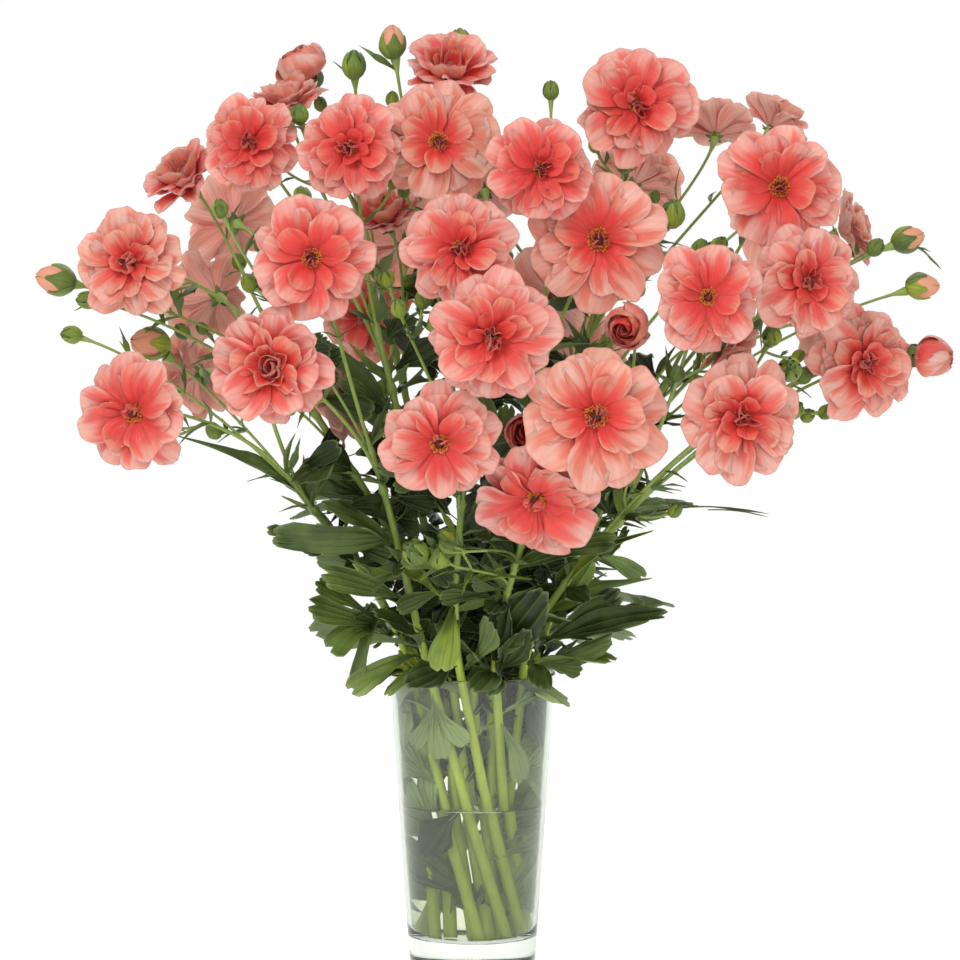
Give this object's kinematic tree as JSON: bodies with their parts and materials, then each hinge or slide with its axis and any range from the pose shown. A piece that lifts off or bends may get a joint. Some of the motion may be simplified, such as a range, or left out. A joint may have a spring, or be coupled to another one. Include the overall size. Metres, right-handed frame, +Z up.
{
  "type": "ranunculus bouquet in a glass vase",
  "caption": "Branched leafy stems of many-petalled salmon-pink ranunculus, with buds, standing in water in a tall tapered clear glass vase.",
  "frame": {"origin": "centre of the vase's foot, on the surface that it stands on", "axes": "+Z up along the vase's axis, -Y the bunch's best side, +X to the right of someone looking at that side"},
  "size_m": [0.5807, 0.3701, 0.6108],
  "materials": {
    "glass": "clear polished glass",
    "water": "clear still water",
    "greenery": "satin leaves and stems",
    "petals": "thin satin petals, salmon pink with paler rims",
    "bud_petals": "thin satin petals wrapped in a bud"
  },
  "bodies": {
    "root": {"vase": "glass", "water": "water", "stem_01": "greenery", "stem_02": "greenery", "stem_03": "greenery", "stem_04": "greenery", "stem_05": "greenery", "stem_06": "greenery", "stem_07": "greenery", "stem_08": "greenery", "stem_09": "greenery", "stem_10": "greenery", "stem_11": "greenery", "stem_12": "greenery", "stem_13": "greenery", "stem_14": "greenery", "bloom_01": "petals", "bloom_02": "petals", "bloom_03": "petals", "bloom_04": "petals", "bloom_05": "petals", "bloom_06": "petals", "bloom_07": "petals", "bloom_08": "petals", "bloom_09": "petals", "bloom_10": "petals", "bloom_11": "petals", "bloom_12": "petals", "bloom_13": "petals", "bloom_14": "petals", "bloom_15": "petals", "bloom_16": "petals", "bloom_17": "petals", "bloom_18": "petals", "bloom_19": "petals", "bloom_20": "petals", "bloom_21": "petals", "bloom_22": "petals", "bloom_23": "petals", "bloom_24": "petals", "bloom_25": "petals", "bloom_26": "petals", "bloom_27": "petals", "bloom_28": "petals", "bloom_29": "petals", "bloom_30": "petals", "bloom_31": "petals", "bloom_32": "petals", "bloom_33": "petals", "bloom_34": "petals", "bloom_35": "petals", "bloom_36": "petals", "bloom_37": "petals", "bloom_38": "petals", "bloom_39": "petals", "bloom_40": "petals", "bud_01": "bud_petals", "bud_02": "bud_petals", "bud_03": "bud_petals", "bud_04": "bud_petals"}
  },
  "joints": []
}
